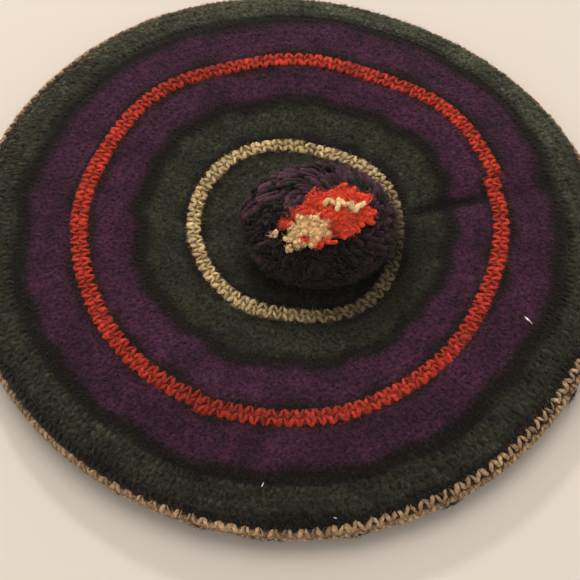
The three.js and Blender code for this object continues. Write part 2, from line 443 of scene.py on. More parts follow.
def worn(along, angle):
    """How light the wool is: darker outside the red ring away from the back, and lighter near the edge by
    painted light, most round one angle.
    """
    red = RED_RING_MIDDLE * MM
    purple = CROWN_STRIPES[-2].to * MM
    outer = smoothstep(along, red, 1.1 * red)
    edge = smoothstep(along, purple, 1.08 * purple)
    back = np.maximum(0, np.sin(angle))
    front = np.maximum(0, -np.sin(angle))
    lit_from_back = np.maximum(0, np.cos(angle - math.radians(PAINTED_BACK_LIGHT_ANGLE))) ** 1.5
    return 1 - DARKER_AWAY_FROM_BACK * outer * (1 - back) + edge * (PAINTED_BACK_LIGHT * lit_from_back + PAINTED_FRONT_LIGHT * front)


def soiled(yarn, angle):
    """How much light a bright ring keeps at some angle, as a share: less where the pompom's shadow is
    painted on it, and where its yarn is darker.
    """
    kept_share = np.ones_like(angle)
    for darkening in RING_SHADOW_AND_DARKENING:
        if darkening.yarn == yarn:
            turn = np.mod(angle - math.radians(darkening.angle) + math.pi, 2 * math.pi) - math.pi
            kept_share = kept_share * (1 - darkening.share * np.exp(-(turn / math.radians(darkening.fade)) ** 2))
    return kept_share


def foot_shade(along, angle):
    """How much painted shadow of the pompom falls on the wool round its front foot, as a share."""
    sizes = bpy.context.scene.beret_pompom
    x = (along * np.cos(angle) - sizes.across) / sizes.half_width
    y = (along * np.sin(angle) - sizes.back) / sizes.half_depth
    front = smoothstep(0.5 * x - 1.6 * y, -0.5, 0.6)
    return POMPOM_PAINTED_SHADOW * front * (1 - smoothstep(np.hypot(x, y), 1.1, 1.7))


def crease_shade(along, angle):
    """How much painted shade falls along the crease, as a share: most between the two bright rings."""
    sizes = bpy.context.scene.beret_wall
    turn = angle - sizes.crease_angle
    across = along * np.sin(turn) / (0.55 * sizes.crease_half_width)
    begins = smoothstep(along, sizes.crease_start, sizes.crease_start + sizes.crease_fade)
    red = RED_RING_MIDDLE * MM
    inside = 1 - smoothstep(along, red - sizes.crease_fade, red)
    shaded = CREASE_PAINTED_SHADE + CREASE_PAINTED_SHADE_MORE * inside
    # The painted shade is dark right across the line's middle, so that it shows through the nap
    line = np.minimum(1, 1.7 * np.exp(-across * across))
    return np.where(np.cos(turn) > 0, shaded * begins * line, 0)


Tube = namedtuple("Tube", "along around corners starts uv")


def tube(sides, rings):
    """A closed tube with pointed ends: each corner's share along and around it, and its faces."""
    along = np.concatenate([[0], np.repeat(np.linspace(0, 1, rings + 2)[1:-1], sides), [1]])
    around = np.concatenate([[0], np.tile(np.arange(sides) / sides, rings), [0]])
    last = 1 + rings * sides
    faces = []
    uv = []
    for j in range(sides):
        k = (j + 1) % sides
        left, right = j / sides, (j + 1) / sides
        faces.append((0, 1 + k, 1 + j))
        uv.append(((0, left), (along[1], right), (along[1], left)))
        for i in range(rings - 1):
            a, b = 1 + i * sides, 1 + (i + 1) * sides
            faces.append((a + j, a + k, b + k, b + j))
            uv.append(((along[a], left), (along[a], right), (along[b], right), (along[b], left)))
        a = 1 + (rings - 1) * sides
        faces.append((a + j, a + k, last))
        uv.append(((along[a], left), (along[a], right), (1, left)))
    corners = np.array([corner for face in faces for corner in face])
    sizes = [len(face) for face in faces]
    starts = np.concatenate([[0], np.cumsum(sizes)[:-1]])
    return Tube(along, around * 2 * math.pi, corners, starts, np.array([c for face in uv for c in face]))


def joined_tubes(name, template, places, dyes, material, slot):
    """One mesh of many like tubes, each with its own corner places and colours."""
    count, corner_count, _ = places.shape
    copies = np.arange(count)[:, None]
    corners = (template.corners + copies * corner_count).ravel()
    starts = (template.starts + copies * len(template.corners)).ravel()
    mesh = bpy.data.meshes.new(name)
    mesh.vertices.add(count * corner_count)
    mesh.vertices.foreach_set("co", places.astype(np.float32).ravel())
    mesh.loops.add(len(corners))
    mesh.loops.foreach_set("vertex_index", corners.astype(np.int32))
    mesh.polygons.add(len(starts))
    mesh.polygons.foreach_set("loop_start", starts.astype(np.int32))
    mesh.polygons.foreach_set("use_smooth", np.ones(len(starts), bool))
    mesh.update(calc_edges=True)
    uv = np.tile(template.uv, (count, 1)).astype(np.float32)
    mesh.uv_layers.new(name="yarn").data.foreach_set("uv", uv.ravel())
    piece = bpy.data.objects.new(name, mesh)
    bpy.context.scene.collection.objects.link(piece)
    set_dye(piece, dyes.reshape(-1, 3))
    return finish_piece(piece, material, slot)


def set_dye(piece, dyes):
    """Stores each corner's own dye on a piece."""
    attribute = piece.data.color_attributes.new("dye", "FLOAT_COLOR", "POINT")
    with_alpha = np.concatenate([dyes, np.ones((len(dyes), 1))], axis=1)
    attribute.data.foreach_set("color", with_alpha.astype(np.float32).ravel())


def finish_piece(piece, material, slot, *nodes):
    """Gives a piece its material and its place in the frame."""
    piece.data.materials.clear()
    piece.data.materials.append(material)
    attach(piece, "root")
    if nodes:
        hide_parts(*nodes)
    return piece


def add_node(tree, kind, settings=None, links=None):
    """Adds a node, sets its values and its inputs, and links inputs to other nodes' outputs."""
    node = tree.nodes.new(kind)
    for name, value in (settings or {}).items():
        if isinstance(name, int) or name in node.inputs:
            node.inputs[name].default_value = value
        else:
            setattr(node, name, value)
    for name, source in (links or {}).items():
        tree.links.new(source, node.inputs[name])
    return node


def pattern_scale(millimetres):
    """Noise scale whose features are about this size."""
    return 1 / (millimetres * MM)


def new_material(name, roughness, specular):
    """A material still without colour: its tree, its shader and object coordinates."""
    material = bpy.data.materials.new(name)
    material.use_nodes = True
    tree = material.node_tree
    shader = tree.nodes["Principled BSDF"]
    shader.inputs["Roughness"].default_value = roughness
    shader.inputs["Specular IOR Level"].default_value = specular
    where = add_node(tree, "ShaderNodeTexCoord").outputs["Object"]
    return material, tree, shader, where


def new_wool(name, sheen, roughness):
    """A wool material still without colour: its tree, its shader, its dye and object coordinates."""
    material, tree, shader, where = new_material(name, roughness, 0.15)
    shader.inputs["IOR"].default_value = 1.54
    shader.inputs["Sheen Weight"].default_value = sheen
    shader.inputs["Sheen Roughness"].default_value = 0.55
    dye = add_node(tree, "ShaderNodeAttribute", {"attribute_name": "dye"}).outputs["Color"]
    return material, tree, shader, dye, where


def mottle(tree, where, base, millimetres, dark, light):
    """Multiplies a colour by soft blotches of a given size and of given lowest and highest brightness."""
    noise = add_node(
        tree, "ShaderNodeTexNoise", {"Scale": pattern_scale(millimetres), "Detail": 2}, {"Vector": where})
    share = add_node(
        tree, "ShaderNodeMapRange",
        {"From Min": 0.3, "From Max": 0.7, "To Min": dark, "To Max": light}, {"Value": noise.outputs["Fac"]})
    mixed = add_node(
        tree, "ShaderNodeVectorMath", {"operation": "MULTIPLY"}, {0: base, 1: share.outputs["Result"]})
    return mixed.outputs["Vector"]


def relief(tree, shader, height, millimetres):
    """Raises a surface by a pattern, up to a given height."""
    bump = add_node(
        tree, "ShaderNodeBump", {"Distance": millimetres * MM, "Strength": 1}, {"Height": height})
    tree.links.new(bump.outputs["Normal"], shader.inputs["Normal"])


def blotched(tree, where, dye):
    """Dye taken up unevenly, in patches as wide as a few stitches and in ones as wide as a yarn."""
    return mottle(tree, where, mottle(tree, where, dye, 16, 0.66, 1.34), 1.5, 0.25, 1.75)


def fulled_wool():
    """Washed and felted wool knit: matt, with soft blotches and a nap of matted fibres."""
    material, tree, shader, dye, where = new_wool("fulled_wool", 0.12, 0.95)
    tree.links.new(blotched(tree, where, dye), shader.inputs["Base Color"])
    shaded = add_node(
        tree, "ShaderNodeTexNoise", {"Scale": pattern_scale(0.6), "Detail": 4}, {"Vector": where})
    relief(tree, shader, shaded.outputs["Fac"], 0.35)
    return material


def plied_yarn():
    """Two ply woollen yarn: matt, lighter on its plies and darker with painted shade in the twist between
    them.
    """
    material, tree, shader, dye, where = new_wool("plied_yarn", 0.1, 0.9)
    uv = add_node(tree, "ShaderNodeUVMap", {"uv_map": "yarn"})
    parts = add_node(tree, "ShaderNodeSeparateXYZ", links={"Vector": uv.outputs["UV"]})
    # The two plies go once round each other along a leg of a stitch or a strand
    turns = add_node(
        tree, "ShaderNodeMath", {"operation": "ADD"}, {0: parts.outputs["X"], 1: parts.outputs["Y"]})
    ridge = add_node(
        tree, "ShaderNodeMath", {"operation": "MULTIPLY", 1: 4 * math.pi}, {0: turns.outputs["Value"]})
    twist = add_node(tree, "ShaderNodeMath", {"operation": "SINE"}, {0: ridge.outputs["Value"]})
    groove = add_node(
        tree, "ShaderNodeMapRange", {"From Min": -1, "From Max": 0.2, "To Min": 0.8, "To Max": 1},
        {"Value": twist.outputs["Value"]})
    # Painted shade: the colour is darker in the twist between the plies
    plied = add_node(
        tree, "ShaderNodeVectorMath", {"operation": "MULTIPLY"}, {0: dye, 1: groove.outputs["Result"]})
    patchy = mottle(tree, where, plied.outputs["Vector"], 1.1, 0.68, 1.32)
    tree.links.new(patchy, shader.inputs["Base Color"])
    hairs = add_node(
        tree, "ShaderNodeTexNoise", {"Scale": pattern_scale(0.5), "Detail": 3}, {"Vector": where})
    raised = add_node(
        tree, "ShaderNodeMath", {"operation": "ADD"}, {0: hairs.outputs["Fac"], 1: groove.outputs["Result"]})
    relief(tree, shader, raised.outputs["Value"], 0.35)
    return material


def loose_fibre():
    """Single wool fibres: matt, taking the light a little more than the cloth below them."""
    material, tree, shader, dye, where = new_wool("loose_fibre", 0.2, 0.85)
    tree.links.new(blotched(tree, where, dye), shader.inputs["Base Color"])
    return material


def pale_board():
    """Matt painted board: an even warm white with the faintest mottling of its paint."""
    material, tree, shader, where = new_material("pale_board", 0.7, 0.2)
    noise = add_node(
        tree, "ShaderNodeTexNoise", {"Scale": pattern_scale(60), "Detail": 2}, {"Vector": where})
    paint = Vector(bpy.context.scene.beret_stage.floor)
    ramp = add_node(tree, "ShaderNodeValToRGB", links={"Fac": noise.outputs["Fac"]})
    ramp.color_ramp.elements[0].color = (*(0.985 * paint), 1)
    ramp.color_ramp.elements[1].color = (*paint, 1)
    tree.links.new(ramp.outputs["Color"], shader.inputs["Base Color"])
    return material


def material_named(make):
    """A material by the function that makes it, made once."""
    return bpy.data.materials.get(make.__name__) or make()


def random_for(number):
    """Numbers that come out the same each time, with a run of their own for each group of pieces."""
    return np.random.default_rng(SEED + number)


def spun_cloth(name, wall, start, stop, rows, closed, sunk):
    """A stretch of the wall drawn out ring by ring from a circle, draped, and given its thickness. One that
    starts at the middle of the crown is closed there by a fan of faces."""
    stations = np.linspace(start, stop, rows + 1)
    radius, height = wall.at(stations, -sunk)
    bpy.ops.object.select_all(action="DESELECT")
    bpy.ops.mesh.primitive_circle_add(
        vertices=CLOTH_SECTIONS, radius=radius[0], location=(0, 0, height[0]),
        fill_type="TRIFAN" if closed else "NOTHING")
    cloth = bpy.context.object
    cloth.name = name
    cloth.data.name = name
    bpy.ops.object.transform_apply(location=True, rotation=True, scale=True)
    bpy.ops.object.mode_set(mode="EDIT")
    bpy.ops.mesh.select_mode(type="EDGE")
    bpy.ops.mesh.select_all(action="SELECT")
    if closed:
        bpy.ops.mesh.region_to_loop()
    for near, far, low, high in zip(radius, radius[1:], height, height[1:]):
        bpy.ops.mesh.extrude_edges_move(TRANSFORM_OT_translate={"value": (0, 0, high - low)})
        grow = far / near
        bpy.ops.transform.resize(value=(grow, grow, 1), center_override=(0, 0, 0))
    bpy.ops.mesh.select_all(action="SELECT")
    bpy.ops.mesh.normals_make_consistent(inside=False)
    bpy.ops.object.mode_set(mode="OBJECT")
    drape_mesh(cloth, wall, stop <= wall.rim)
    thickness = cloth.modifiers.new("thickness", "SOLIDIFY")
    thickness.thickness = wall.sizes.wall - sunk
    thickness.offset = -1
    bpy.ops.object.modifier_apply(modifier="thickness")
    bpy.ops.object.shade_smooth()
    return cloth


def corner_places(piece):
    """Places of a mesh's corners as an array."""
    places = np.empty(len(piece.data.vertices) * 3, np.float32)
    piece.data.vertices.foreach_get("co", places)
    return places.reshape(-1, 3).astype(float)


def move_corners(piece, places):
    """Puts a mesh's corners at new places."""
    piece.data.vertices.foreach_set("co", places.astype(np.float32).ravel())
    piece.data.update()


def drape_mesh(cloth, wall, on_top):
    """Moves a round piece of cloth to its wandering outline, lifted rim and crease."""
    x, y, height = corner_places(cloth).T
    move_corners(cloth, wall.drape(np.hypot(x, y), np.arctan2(y, x), height, on_top))


class BERET_OT_stage(bpy.types.Operator):
    """Sets the floor, the lights and the camera"""

    bl_idname = "beret.stage"
    bl_label = "Stage"

    def execute(self, context):
        stage = context.scene.beret_stage
        bpy.ops.object.select_all(action="DESELECT")
        bpy.ops.mesh.primitive_plane_add(size=6, location=(0, 0, 0))
        floor = context.object
        floor.name = "floor"
        floor.data.materials.append(material_named(pale_board))

        world = bpy.data.worlds.new("room")
        world.use_nodes = True
        background = world.node_tree.nodes["Background"]
        background.inputs["Color"].default_value = (*stage.light, 1)
        background.inputs["Strength"].default_value = stage.fill
        context.scene.world = world

        for name, place, size, power in (
                ("lamp", (-0.55, 1.94, 1.3), 0.24, stage.lamp_power),
                ("window", (-0.15, 0.55, 2.12), 1.6, stage.window_power)):
            aim = (-Vector(place)).to_track_quat("-Z", "Y").to_euler()
            bpy.ops.object.light_add(type="AREA", location=place, rotation=aim)
            light = context.object
            light.name = name
            light.data.shape = "DISK"
            light.data.size = size
            light.data.energy = power
            light.data.color = stage.light

        backwards = Vector((0, -math.cos(stage.elevation), math.sin(stage.elevation)))
        place = Vector(stage.target) + stage.distance * backwards
        bpy.ops.object.camera_add(location=place, rotation=backwards.to_track_quat("Z", "Y").to_euler())
        camera = context.object
        camera.data.sensor_width = 36
        camera.data.lens = stage.lens
        camera.data.clip_start = 0.01
        context.scene.camera = camera
        context.scene.view_settings.view_transform = "Standard"
        return {"FINISHED"}


class BERET_OT_cloth(bpy.types.Operator):
    """Builds the fulled wall of the crown, the rim and the underside"""

    bl_idname = "beret.cloth"
    bl_label = "Fulled cloth"

    def execute(self, context):
        wall = WallLine()
        sunk = context.scene.beret_yarn.stitch_sink
        for name, start, stop, rows, slot, node in (
                ("crown_cloth", CENTRE_FAN * MM, wall.cream_from, 64, "green_wool", "crown_top"),
                ("rim_cloth", wall.cream_from, wall.cream_to, 5, "cream_wool", "rim_edge"),
                ("underside_cloth", wall.cream_to, wall.end, 18, "green_wool", "underside")):
            crown = node == "crown_top"
            cloth = spun_cloth(name, wall, start, stop, rows, crown, sunk)
            self.dye(cloth, wall, node == "rim_edge", crown)
            finish_piece(cloth, material_named(fulled_wool), slot, node)
        return {"FINISHED"}

    def dye(self, cloth, wall, cream, crown):
        """Dyes the cloth by its rounds; the rim is cream and the underside green."""
        x, y, height = corner_places(cloth).T
        angle = np.arctan2(y, x)
        along = np.hypot(x, y) if crown else np.full(len(x), wall.end)
        if crown:
            along = along - round_wander(along, angle)
        dyes = cloth_dye(along, angle)
        if cream:
            fold = wall.sizes.rim_height + wave_sum(RIM_LIFT_WAVES, angle)
            low = height < fold + 0.7 * wall.sizes.cream_above
            # Under the cream legs the cloth is darkened cream, painted shade between the legs; higher up it
            # is black
            dyes = np.where(low[:, None], 0.6 * dye_of("worn_cream"), dye_of("black"))
        if crown:
            # The cloth under each bright ring is its yarn darkened, painted shade in the holes between the
            # legs
            for middle, yarn, share in ((CREAM_RING_MIDDLE, "cream", 0.33), (RED_RING_MIDDLE, "red", 0.52)):
                inside = np.abs(along - middle * MM) < RING_GROUND * MM
                dyes[inside] = (share * soiled(yarn, angle[inside]))[:, None] * dye_of(yarn)
        set_dye(cloth, dyes)


# Legs of the stitches: corners round and rings along each, half widths as shares of the stitch, heights and
# depths in mm, how far a leg reaches as a share of its round, and how uneven they are
Leg = namedtuple("Leg", "sides rings width thickness rise sink reach uneven")
FULLED_LEG = Leg(4, 2, width=0.3, thickness=0.6, rise=0.14, sink=0.6, reach=1.12, uneven=0.16)
EDGE_LEG = Leg(5, 3, width=0.27, thickness=0.6, rise=0.14, sink=0.54, reach=1.12, uneven=0.18)
RING_LEG = Leg(6, 5, width=0.2, thickness=0.65, rise=0.45, sink=0.28, reach=1.36, uneven=0.24)
RIM_LEG = Leg(6, 4, width=0.17, thickness=0.55, rise=0.4, sink=0.32, reach=1.2, uneven=0.26)
UNDER_LEG = Leg(3, 2, width=0.28, thickness=0.6, rise=0.1, sink=0.62, reach=1.12, uneven=0.16)


def rounds_of(start, stop, rounds, stitches):
    """Middle, height and stitch count of each round in a stripe."""
    height = (stop - start) / rounds
    rows = []
    for index in range(rounds):
        middle = start + (index + 0.5) * height
        count = stitches or max(5, round(2 * math.pi * middle / (DISC_STITCH * MM)))
        rows.append((middle, height, count))
    return rows


def striped_rounds():
    """Each stripe of the crown with its rounds."""
    start = 0
    for stripe in CROWN_STRIPES:
        yield stripe, rounds_of(start, stripe.to * MM, stripe.rounds, stripe.stitches)
        start = stripe.to * MM


def stitch_legs(wall, rounds, leg, random):
    """Corner places of the two legs of every stitch, and the corners' places along and round the cloth.
    A stitch is a V with its tip towards the middle, whose arms pass under the next round out."""
    template = tube(leg.sides, leg.rings)
    rows = []
    for middle, height, count in rounds:
        pitch = 2 * math.pi / count
        turns = (np.arange(count) + random.normal(0, 0.05, count)) * pitch
        rows += [(middle, height, pitch, turn, side) for side in (-1, 1) for turn in turns]
    middle, height, pitch, turn, side = np.array(rows).T[:, :, None]
    radius, _ = wall.at(middle, 0)
    stitch = pitch * radius
    wobble = random.normal(1, leg.uneven, (3, len(rows), 1))
    t = template.along
    # A leg is blunt at its ends, rises out of the cloth and dips under the next round
    fullness = np.where((t == 0) | (t == 1), 0, np.sin(math.pi * (0.08 + 0.84 * t)) ** 0.55)
    rise = 0.3 + 2.7 * t - 3.3 * t * t
    # It leans from the tip of the V to its arm, and its width is square to that lean
    lean_across = side * 0.44 * stitch
    lean_out = leg.reach * height
    sideways = leg.width * stitch * wobble[1] * fullness * np.cos(template.around)
    sideways = sideways / np.hypot(lean_across, lean_out)
    across = side * 0.04 * stitch + lean_across * t + lean_out * sideways
    out = lean_out * (t - 0.5) - lean_across * sideways
    above = leg.rise * wobble[0] * rise - leg.sink
    above = (above + leg.thickness * wobble[2] * fullness * np.sin(template.around)) * MM
    along = middle + out + random.normal(0, leg.uneven * MM, out.shape)
    angle = turn + across / radius + random.normal(0, leg.uneven * MM, out.shape) / radius
    places = wall.place(along, angle, above)
    places[..., 2] = np.maximum(places[..., 2], 0)
    return template, places, along, angle


class BERET_OT_fulled_rounds(bpy.types.Operator):
    """Knits the dark rounds of the crown and the underside, felted almost smooth"""

    bl_idname = "beret.fulled_rounds"
    bl_label = "Fulled rounds"

    def execute(self, context):
        wall = WallLine()
        random = random_for(1)
        rounds = {"green": [], "black": [], "purple": []}
        for stripe, rows in striped_rounds():
            if stripe.yarn in rounds:
                rounds[stripe.yarn] += rows
        for yarn, rows in rounds.items():
            self.knit("crown_" + yarn + "_rounds", wall, rows, FULLED_LEG, yarn, random)
        edge = rounds_of(CROWN_STRIPES[-1].to * MM, wall.cream_from, EDGE_ROUNDS, RIM_STITCHES)
        self.knit("crown_edge_rounds", wall, edge, EDGE_LEG, "green", random)
        under = rounds_of(wall.cream_to, wall.end, UNDERSIDE_ROUNDS, RIM_STITCHES)
        self.knit("underside_rounds", wall, under, UNDER_LEG, "green", random)
        return {"FINISHED"}

    def knit(self, name, wall, rows, leg, yarn, random):
        """One joined piece of felted stitches, dyed by their place on the cloth."""
        template, places, along, angle = stitch_legs(wall, rows, leg, random)
        uneven = 0.14 if yarn == "purple" else 0.36
        dyes = cloth_dye(along, angle) * random.normal(1, uneven, (len(along), 1, 1)).clip(0.4, 1.9)
        joined_tubes(name, template, places, dyes, material_named(fulled_wool), yarn + "_wool")


class BERET_OT_ring_rounds(bpy.types.Operator):
    """Knits the red and cream rings and the cream rounds over the rim"""

    bl_idname = "beret.ring_rounds"
    bl_label = "Red and cream rounds"

    def execute(self, context):
        wall = WallLine()
        random = random_for(2)
        for stripe, rows in striped_rounds():
            if stripe.yarn in ("red", "cream"):
                self.knit(stripe.yarn + "_ring", wall, rows, RING_LEG, stripe.yarn, random)
        rows = rounds_of(wall.cream_from, wall.cream_to, RIM_ROUNDS, RIM_STITCHES)
        self.knit("rim_rounds", wall, rows, RIM_LEG, "worn_cream", random)
        return {"FINISHED"}

    def knit(self, name, wall, rows, leg, yarn, random):
        """One joined ring of stitches, each leg a little lighter or darker than the next."""
        template, places, along, angle = stitch_legs(wall, rows, leg, random)
        tone = random.normal(0.86, 0.16, (len(along), 1)).clip(0.45, 1.25)
        # Darker where the pompom's shadow is painted on a ring, and where its yarn is darker
        tone = tone * soiled(yarn, angle)
        # Painted shade and highlight: each leg is darker at its sides and ends and lighter along its crown
        crown = np.maximum(0, np.sin(template.around)) * np.sin(math.pi * template.along) ** 0.5
        dyes = dye_of(yarn) * (tone * (0.6 + 0.45 * crown))[..., None]
        slot = "red_wool" if yarn == "red" else "cream_wool"
        joined_tubes(name, template, places, dyes, material_named(plied_yarn), slot)


class BERET_OT_head_band(bpy.types.Operator):
    """Builds the ribbed band round the head opening"""

    bl_idname = "beret.head_band"
    bl_label = "Head band"

    def execute(self, context):
        sizes = context.scene.beret_wall
        ribs = 64
        middle = sizes.opening_radius + sizes.band_width / 2
        half_width = sizes.band_width / 2 - 0.1 * MM
        half_thick = sizes.band_thickness / 2
        bpy.ops.object.select_all(action="DESELECT")
        bpy.ops.mesh.primitive_torus_add(
            major_radius=middle, minor_radius=half_thick, major_segments=4 * ribs, minor_segments=16,
            location=(0, 0, half_thick))
        band = context.object
        band.name = "head_band_rib"
        bpy.ops.object.transform_apply(location=True, rotation=True, scale=True)
        x, y, height = corner_places(band).T
        angle = np.arctan2(y, x)
        ridge = 0.86 + 0.14 * np.cos(ribs * angle)
        out = (np.hypot(x, y) - middle) / half_thick
        radius = middle + half_width * np.sign(out) * np.abs(out) ** 0.7
        up = (height / half_thick - 1) * ridge * half_thick + half_thick
        move_corners(band, np.stack([radius * np.cos(angle), radius * np.sin(angle), up], axis=1))
        bpy.ops.object.shade_smooth()
        # Painted shade: the wool is darker in the grooves between the ribs
        set_dye(band, np.broadcast_to(dye_of("green"), (len(x), 3)) * (0.5 + 0.5 * ridge)[:, None])
        finish_piece(band, material_named(fulled_wool), "green_wool", "head_band")
        return {"FINISHED"}


class BERET_OT_pompom(bpy.types.Operator):
    """Builds the pompom: a dark core, strands combed over it and a knot of bright yarn ends on top"""

    bl_idname = "beret.pompom"
    bl_label = "Pompom"

    def execute(self, context):
        sizes = context.scene.beret_pompom
        wall = context.scene.beret_wall
        self.base = wall.centre_height + sizes.clearance
        self.middle = np.array((sizes.across, sizes.back, self.base + sizes.half_height - sizes.flattened))
        self.reach = np.array((sizes.half_width, sizes.half_depth, sizes.half_height))
        random = random_for(3)
        self.core()
        self.strands(sizes.strands, random)
        self.bright_ends(random)
        self.fuzz(10 * sizes.strands, random)
        return {"FINISHED"}

    def core(self):
        """The matted middle of the pompom, seen only between the strands."""
        bpy.ops.object.select_all(action="DESELECT")
        bpy.ops.mesh.primitive_uv_sphere_add(
            segments=48, ring_count=24, radius=1, location=self.middle, scale=0.84 * self.reach)
        core = bpy.context.object
        core.name = "pompom_core"
        bpy.ops.object.transform_apply(location=True, rotation=True, scale=True)
        places = corner_places(core)
        places[:, 2] = np.maximum(places[:, 2], self.base)
        move_corners(core, places)
        bpy.ops.object.shade_smooth()
        dusty = self.behind((places - self.middle)[:, :2] / MM)[:, None]
        set_dye(core, dye_of("black") + 0.4 * dusty * (dye_of("dusty") - dye_of("black")))
        finish_piece(core, material_named(fulled_wool), "purple_wool", "pompom")

    def strands(self, count, random):
        """Dark yarn ends all over the pompom, lying over at its back and front, standing at its sides."""
        unit = spread_points(count, random)
        plan = unit[:, :2] * self.reach[:2] / MM
        bare = np.array([patch_at(place, 1) is None for place in plan])
        unit, plan = unit[bare], plan[bare]
        locks = spread_points(count // 5, random)
        lock = np.argmax(unit @ locks.T, axis=1)
        sway = random.normal(0, 5 * MM, locks.shape)[lock]
        pick = 0.7 * random.uniform(size=len(locks))[lock] + 0.3 * random.uniform(size=len(unit))
        behind = self.behind(plan)
        left = smoothstep(-plan[:, 0], 14, 30) * (1 - behind)
        right = smoothstep(plan[:, 0], 10, 24) * (1 - behind)
        dusty = 0.55 + 0.12 * behind - 0.3 * left + 0.2 * right
        yarns = np.where(pick < dusty, "dusty", np.where(pick < 0.85 - 0.2 * left, "black", "green"))
        fleck = np.where(random.uniform(size=len(unit)) < 0.07, 2, 1)
        tone = random.uniform(0.5, 1.5, len(locks))[lock] * fleck
        # Painted shade and light: the strands are darker at the front of the pompom and lighter at its back
        # and sides
        tone = tone * (0.24 + 1.03 * behind + 0.6 * left + 0.45 * right)
        surface, rise, comb = self.combed(unit * 0.95, sway, random)
        lying = np.maximum(behind, 0.7 * smoothstep(-plan[:, 1], 5, 14))[:, None]
        drawn = (1 + lying * random.uniform(3, 8, lying.shape)) * MM
        root = surface - rise * 5 * MM - comb * 0.5 * drawn
        crook = surface + rise * (random.normal(0, 0.4, lying.shape) + 1.2 * lying - 1) * MM
        tip = surface + comb * drawn + rise * random.normal(0.2 - 0.4 * lying, 0.5) * MM
        thick = random.normal(1.2, 0.15, len(unit)).clip(0.7, 1.6)
        template = tube(6, 5)
        places = self.yarn(root, crook, tip, rise, thick, template, random)
        for yarn, slot in (("dusty", "purple"), ("black", "black"), ("green", "green")):
            chosen = yarns == yarn
            name = "pompom_" + slot + "_strands"
            self.lay(name, yarn, slot, template, places[chosen], tone[chosen], 0.6, random)

    def bright_ends(self, random):
        """Red ends combed over the top, and then the cream ones."""
        template = tube(8, 6)
        unit, cream, lie = self.patch_points(1.95, random)
        unit, lie = unit[~cream], lie[~cream]
        surface, rise, _ = self.combed(unit, 0, random)
        count = len(unit)
        x, y, _ = (unit * self.reach / MM).T
        # The red ends fan out to the right, from a line that slopes up across the patch
        fan = np.radians(18 + 2.2 * (y - 0.4 * x + 6.4) + random.normal(0, 20, count))
        comb = np.stack([np.cos(fan), np.sin(fan), np.zeros(count)], axis=1)
        comb -= rise * np.sum(comb * rise, axis=1, keepdims=True)
        drawn = lie[:, None] * random.uniform(3.5, 9.5, (count, 1)) * MM
        root = surface - rise * 3 * MM - comb * 0.6 * drawn
        crook = surface + rise * random.uniform(0, 2.2, (count, 1)) * MM
        tip = surface + comb * 0.6 * drawn + rise * random.uniform(-0.6, 1.4, (count, 1)) * MM
        thick = random.normal(1.2, 0.18, count).clip(0.7, 1.7)
        places = self.yarn(root, crook, tip, rise, thick, template, random)
        self.lay("pompom_red_ends", "bright_red", "red", template, places, np.ones(count), 0.65, random)
        self.cream_ends(template, random)

    def cream_ends(self, template, random):
        """A knot of cream ends, cut short and leaning all ways, and cream curls that lie over the red."""
        unit, cream, _ = self.patch_points(1.3, random)
        surface, rise, _ = self.combed(unit[cream], 0, random)
        count = len(surface)
        lean = random.normal(0, 0.7 * MM, surface.shape)
        root = surface - rise * 1.5 * MM
        crook = surface + rise * 0.5 * MM + 0.4 * lean
        tip = surface + rise * random.uniform(0.7, 1.4, (count, 1)) * MM + lean
        thick = random.normal(1.1, 0.16, count).clip(0.6, 1.5)
        fine = tube(6, 4)
        places = self.yarn(root, crook, tip, rise, thick, fine, random)
        self.lay("pompom_cream_ends", "warm_cream", "cream", fine, places, np.ones(count), 0, random)
        ends = np.array(CURLS).reshape(-1, 3, 2)
        laid = self.onto_ball(ends) * (self.reach + 1.9 * MM)
        count = len(ends)
        thick = random.normal(1.3, 0.08, count)
        up = np.broadcast_to((0.0, 0.0, 1.0), (count, 3))
        places = self.yarn(laid[:, 0], laid[:, 1], laid[:, 2], up, thick, template, random)
        self.lay("pompom_cream_curls", "warm_cream", "cream", template, places, np.ones(count), 0, random)

    def patch_points(self, spacing, random):
        """Points on the unit ball packed over the bright patches, which of them are cream, and how far the
        ends there lie over."""
        half_x, half_y, _ = self.reach / MM
        rows = []
        for row, y in enumerate(np.arange(-half_y, half_y, spacing * 0.87)):
            for x in np.arange(-half_x, half_x, spacing) + (row % 2) * spacing / 2:
                place = np.array((x, y)) + random.normal(0, 0.35, 2)
                patch = patch_at(place, random.uniform(0.86, 1.06))
                if patch and np.hypot(*(place / (half_x, half_y))) < 0.97:
                    rows.append((*place, patch.yarn == "cream", patch.lie))
        rows = np.array(rows)
        return self.onto_ball(rows[:, :2]), rows[:, 2] == 1, rows[:, 3]

    def onto_ball(self, places):
        """Points on the unit ball above places in mm right of and behind the middle of the pompom."""
        flat = places * MM / self.reach[:2]
        return np.concatenate([flat, np.sqrt(1 - np.sum(flat ** 2, axis=-1, keepdims=True))], axis=-1)

